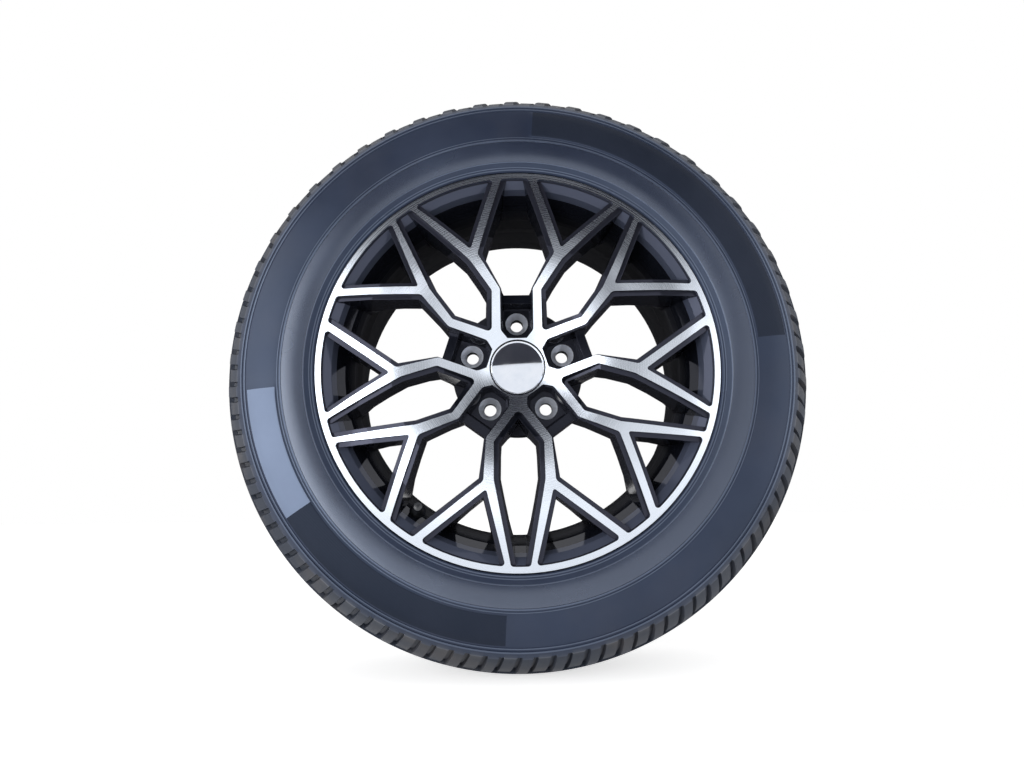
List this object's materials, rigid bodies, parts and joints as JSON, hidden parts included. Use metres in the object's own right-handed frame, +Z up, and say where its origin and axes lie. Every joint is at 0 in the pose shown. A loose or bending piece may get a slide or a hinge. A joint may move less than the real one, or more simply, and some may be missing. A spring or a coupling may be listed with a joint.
{
  "type": "car wheel",
  "caption": "Cast alloy car wheel with forked spokes, a machined face over gloss black pockets, its tyre, a plain centre cap and a snap-in inflation valve.",
  "frame": {"origin": "centre of the wheel on its spin axis, in the rim's middle plane", "axes": "+Y along the spin axis towards the car, the spoked face looks along -Y, +Z up through one bolt hole"},
  "size_m": [0.7112, 0.2369, 0.7112],
  "materials": {
    "alloy": "machined face, gloss black pockets",
    "tyre": "matte",
    "cap_body": "bright plated",
    "cap_disc": "mirror plated",
    "spring_steel": "satin",
    "valve_rubber": "matte",
    "brass": "satin",
    "cap_plastic": "satin"
  },
  "bodies": {
    "wheel": {"alloy_wheel": "alloy", "tyre": "tyre", "centre_cap": "cap_body", "centre_cap_disc": "cap_disc", "centre_cap_spring": "spring_steel", "valve_rubber": "valve_rubber", "valve_stem": "brass", "valve_core_body": "brass", "valve_core_gasket": "valve_rubber", "valve_core_spring": "spring_steel"},
    "core_pin": {"valve_core_pin": "brass", "valve_core_seal": "valve_rubber", "valve_core_cup": "brass"},
    "cap_washer": {"valve_cap_washer": "valve_rubber"},
    "dust_cap": {"valve_cap": "cap_plastic"}
  },
  "joints": [
    {"name": "core_press", "type": "slide", "parent": "wheel", "child": "core_pin", "axis": [-0.1521, 0.9659, -0.2094], "range_m": [0, 0.0015], "stiffness_N_per_m": 300, "deforming": ["valve_core_spring"]},
    {"name": "cap_lift", "type": "slide", "parent": "wheel", "child": "cap_washer", "axis": [0.1521, -0.9659, 0.2094], "range_m": [0, 0.00318]},
    {"name": "cap_turn", "type": "hinge", "parent": "cap_washer", "child": "dust_cap", "pos_m": [-0.11715, -0.092, -0.16124], "axis": [0.1521, -0.9659, 0.2094], "range_deg": [0, 1440]}
  ],
  "couplings": [
    {"joint": "cap_turn", "follows": "cap_lift", "rad_per_m": 7913.3}
  ]
}
